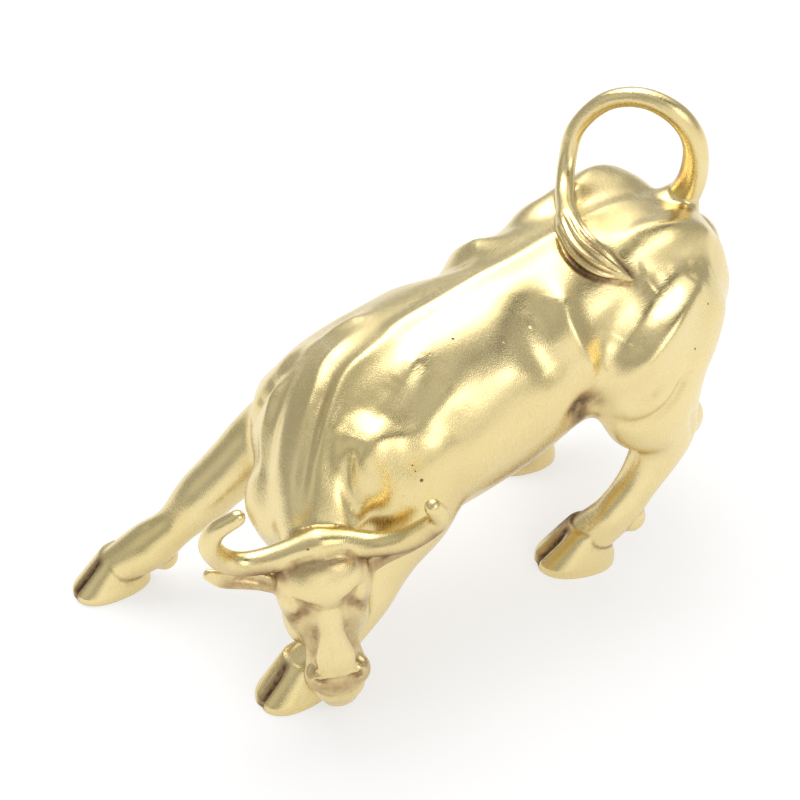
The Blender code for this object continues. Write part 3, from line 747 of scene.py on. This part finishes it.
class Nodes:
    """A short way to add and join the nodes of one tree."""

    def __init__(self, tree):
        self.tree = tree

    def add(self, kind, inputs=None, **settings):
        node = self.tree.nodes.new(kind)
        for name, value in settings.items():
            setattr(node, name, value)
        for name, value in (inputs or {}).items():
            if isinstance(value, bpy.types.NodeSocket):
                self.tree.links.new(value, node.inputs[name])
            else:
                node.inputs[name].default_value = value
        return node

    def math(self, operation, a, b=0.0, clamp=False):
        return self.add("ShaderNodeMath", {0: a, 1: b}, operation=operation, use_clamp=clamp).outputs[0]

    def fade(self, value, low, high, to_low=0.0, to_high=1.0):
        inputs = {"Value": value, "From Min": low, "From Max": high, "To Min": to_low, "To Max": to_high}
        return self.add("ShaderNodeMapRange", inputs).outputs[0]

    def mix(self, factor, a, b):
        made = self.add("ShaderNodeMix", data_type="RGBA")
        for index, value in ((0, factor), (6, a), (7, b)):
            if isinstance(value, bpy.types.NodeSocket):
                self.tree.links.new(value, made.inputs[index])
            else:
                made.inputs[index].default_value = value
        return made.outputs[2]

    def noise(self, vector, scale, detail=3.0, rough=0.5):
        inputs = {"Vector": vector, "Scale": scale, "Detail": detail, "Roughness": rough}
        return self.add("ShaderNodeTexNoise", inputs).outputs[0]

    def turned(self, vector, scale, angles):
        inputs = {"Vector": vector, "Rotation": angles, "Scale": scale}
        return self.add("ShaderNodeMapping", inputs).outputs[0]


def brushed_brass():
    """Hand-polished cast brass, brushed in patches, pitted here and there, brown in the recesses and painted
    darker on the undersides as shade.
    """
    material = bpy.data.materials.new("brushed_brass")
    material.use_nodes = True
    n = Nodes(material.node_tree)
    shader = material.node_tree.nodes["Principled BSDF"]
    where = n.add("ShaderNodeTexCoord").outputs["Object"]
    patina_and_painted_shade = n.add("ShaderNodeAttribute", attribute_name="patina_and_painted_shade").outputs["Fac"]
    # Long fine scratches, in directions that take turns over the body
    strokes = [n.noise(n.turned(where, scale, angles), 1.0, 2.0, 0.6) for scale, angles in STROKES]
    patch = n.fade(n.noise(where, 38.0, 1.0), 0.42, 0.58)
    patch_two = n.fade(n.noise(n.turned(where, (1, 1, 1), (0.9, 0.4, 0.1)), 30.0, 1.0), 0.45, 0.6)
    first = n.mix(patch, strokes[0], strokes[1])
    brushed = n.mix(patch_two, first, strokes[2])
    scratch = n.fade(brushed, 0.35, 0.65)
    # Casting pits, scattered ones where a slow noise is high and then the ones with a place of their own
    cells = n.add("ShaderNodeTexVoronoi", {"Vector": where, "Scale": PIT_CELLS, "Randomness": 1.0})
    rare = n.fade(n.noise(where, 60.0, 2.0), 0.62, 0.7)
    pit = n.math("MULTIPLY", n.fade(cells.outputs["Distance"], *PIT_SIZE), rare)
    for middle, reach in PITS:
        at = (Vector(middle) + Vector(OFFSET)) * SHARE / 1000
        away = n.add("ShaderNodeVectorMath", {0: where, 1: at}, operation="DISTANCE").outputs["Value"]
        pit = n.math("MAXIMUM", pit, n.fade(away, reach * SHARE / 1000, reach * SHARE / 2500))
    # Patina, with the painted shade of the undersides that comes with it, broken up by blotches and by finer
    # specks
    blotch = n.noise(where, 90.0, 4.0, 0.65)
    speck = n.noise(where, 700.0, 3.0, 0.7)
    uneven = n.math("ADD", blotch, n.math("MULTIPLY", speck, 0.6))
    dirt_and_painted_shade = n.math("MULTIPLY", patina_and_painted_shade, n.fade(uneven, 0.45, 0.95, 0.35, 1.25))
    dirt_and_painted_shade = n.math("ADD", dirt_and_painted_shade, n.math("MULTIPLY", pit, 0.8), clamp=True)
    tone = n.fade(n.noise(where, 22.0, 3.0), 0.35, 0.65)
    gold = n.mix(tone, BRASS_WARM, BRASS_PALE)
    gold = n.mix(n.math("MULTIPLY", scratch, SCRATCH_SHARE), gold, BRASS_SCRATCH)
    # The tan and brown of the patina, which also paint the shade on the undersides
    half = n.mix(n.fade(dirt_and_painted_shade, 0.0, 0.45), gold, PATINA_AND_SHADE_TAN)
    colour = n.mix(n.fade(dirt_and_painted_shade, 0.45, 1.0), half, PATINA_AND_SHADE_BROWN)
    material.node_tree.links.new(colour, shader.inputs["Base Color"])
    rough = n.fade(scratch, 0.0, 1.0, *POLISH_ROUGHNESS)
    rough = n.math("ADD", rough, n.math("MULTIPLY", n.fade(dirt_and_painted_shade, 0.0, 1.0), PATINA_ROUGHNESS))
    rough = n.math("ADD", rough, n.fade(blotch, 0.3, 0.7, -0.03, 0.04))
    material.node_tree.links.new(rough, shader.inputs["Roughness"])
    material.node_tree.links.new(n.fade(dirt_and_painted_shade, 0.3, 1.0, 1.0, 0.6), shader.inputs["Metallic"])
    height = n.math("ADD", n.math("MULTIPLY", brushed, 0.6), n.math("MULTIPLY", pit, PIT_DEPTH))
    grain = n.math("MULTIPLY", n.noise(where, 420.0, 3.0), n.fade(patina_and_painted_shade, 0.0, 1.0, 0.25, 1.6))
    height = n.math("ADD", height, grain)
    bump = n.add("ShaderNodeBump", {"Strength": BUMP_STRENGTH, "Distance": BUMP_DEPTH, "Height": height})
    material.node_tree.links.new(bump.outputs[0], shader.inputs["Normal"])
    return material


def floor():
    """A plain pale floor."""
    bpy.ops.mesh.primitive_plane_add(size=FLOOR_SIZE, location=(0, 0, 0))
    sheet = bpy.context.object
    sheet.name = "floor"
    material = bpy.data.materials.new("floor_white")
    material.use_nodes = True
    shader = material.node_tree.nodes["Principled BSDF"]
    shader.inputs["Base Color"].default_value = (FLOOR_TONE, FLOOR_TONE, FLOOR_TONE, 1)
    shader.inputs["Roughness"].default_value = 0.9
    shader.inputs["Specular IOR Level"].default_value = 0.1
    shader.inputs["Emission Color"].default_value = (1, 1, 1, 1)
    shader.inputs["Emission Strength"].default_value = FLOOR_GLOW
    sheet.data.materials.append(material)


def camera():
    """The photograph's view: its azimuth, elevation and angle, at the distance that fills its frame."""
    azimuth, elevation = math.radians(VIEW_AZIMUTH), math.radians(VIEW_ELEVATION)
    level = math.cos(elevation)
    back = Vector((math.sin(azimuth) * level, -math.cos(azimuth) * level, math.sin(elevation)))
    lens = bpy.data.cameras.new("photo_view")
    lens.sensor_width = 36.0
    lens.sensor_height = 36.0
    lens.sensor_fit = "HORIZONTAL"
    lens.angle = math.radians(VIEW_ANGLE)
    lens.clip_start = 0.01
    lens.clip_end = 20.0
    eye = bpy.data.objects.new("photo_view", lens)
    bpy.context.scene.collection.objects.link(eye)
    eye.location = Vector(VIEW_TARGET) + back * VIEW_DISTANCE
    eye.rotation_euler = back.to_track_quat("Z", "Y").to_euler()
    bpy.context.scene.camera = eye


def light(name, way, distance, size, power):
    """A soft box, facing the bull from the given way."""
    lamp = bpy.data.lights.new(name, "AREA")
    lamp.shape = "RECTANGLE"
    lamp.size, lamp.size_y = size
    lamp.energy = power
    box = bpy.data.objects.new(name, lamp)
    bpy.context.scene.collection.objects.link(box)
    box.location = Vector(LIGHT_AIM) + Vector(way).normalized() * distance
    box.rotation_euler = Vector(way).to_track_quat("Z", "Y").to_euler()


def lights():
    """The soft boxes, and a studio that is lighter and darker in places for the brass to mirror."""
    for one in SOFT_BOXES:
        light(*one)
    world = bpy.data.worlds.new("studio")
    bpy.context.scene.world = world
    world.use_nodes = True
    n = Nodes(world.node_tree)
    way = n.add("ShaderNodeTexCoord").outputs["Generated"]
    level = STUDIO_LEVEL
    for middle, full, end, change in STUDIO_PARTS:
        inputs = {0: way, 1: Vector(middle).normalized()}
        toward = n.add("ShaderNodeVectorMath", inputs, operation="DOT_PRODUCT").outputs["Value"]
        outer, inner = math.cos(math.radians(end)), math.cos(math.radians(full))
        inputs = {"Value": toward, "From Min": outer, "From Max": inner, "To Max": change}
        part = n.add("ShaderNodeMapRange", inputs, interpolation_type="SMOOTHSTEP")
        level = n.math("ADD", part.outputs[0], level)
    back = world.node_tree.nodes["Background"]
    world.node_tree.links.new(level, back.inputs["Color"])
    back.inputs["Strength"].default_value = 1.0


def main():
    """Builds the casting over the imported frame, then floor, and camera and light."""
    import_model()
    piece = fine_bull()
    piece.data.materials.clear()
    piece.data.materials.append(brushed_brass())
    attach(piece, "root")
    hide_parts("bull")
    floor()
    camera()
    lights()
    scene = bpy.context.scene
    scene.view_settings.view_transform = "Standard"
    scene.view_settings.look = "None"


main()
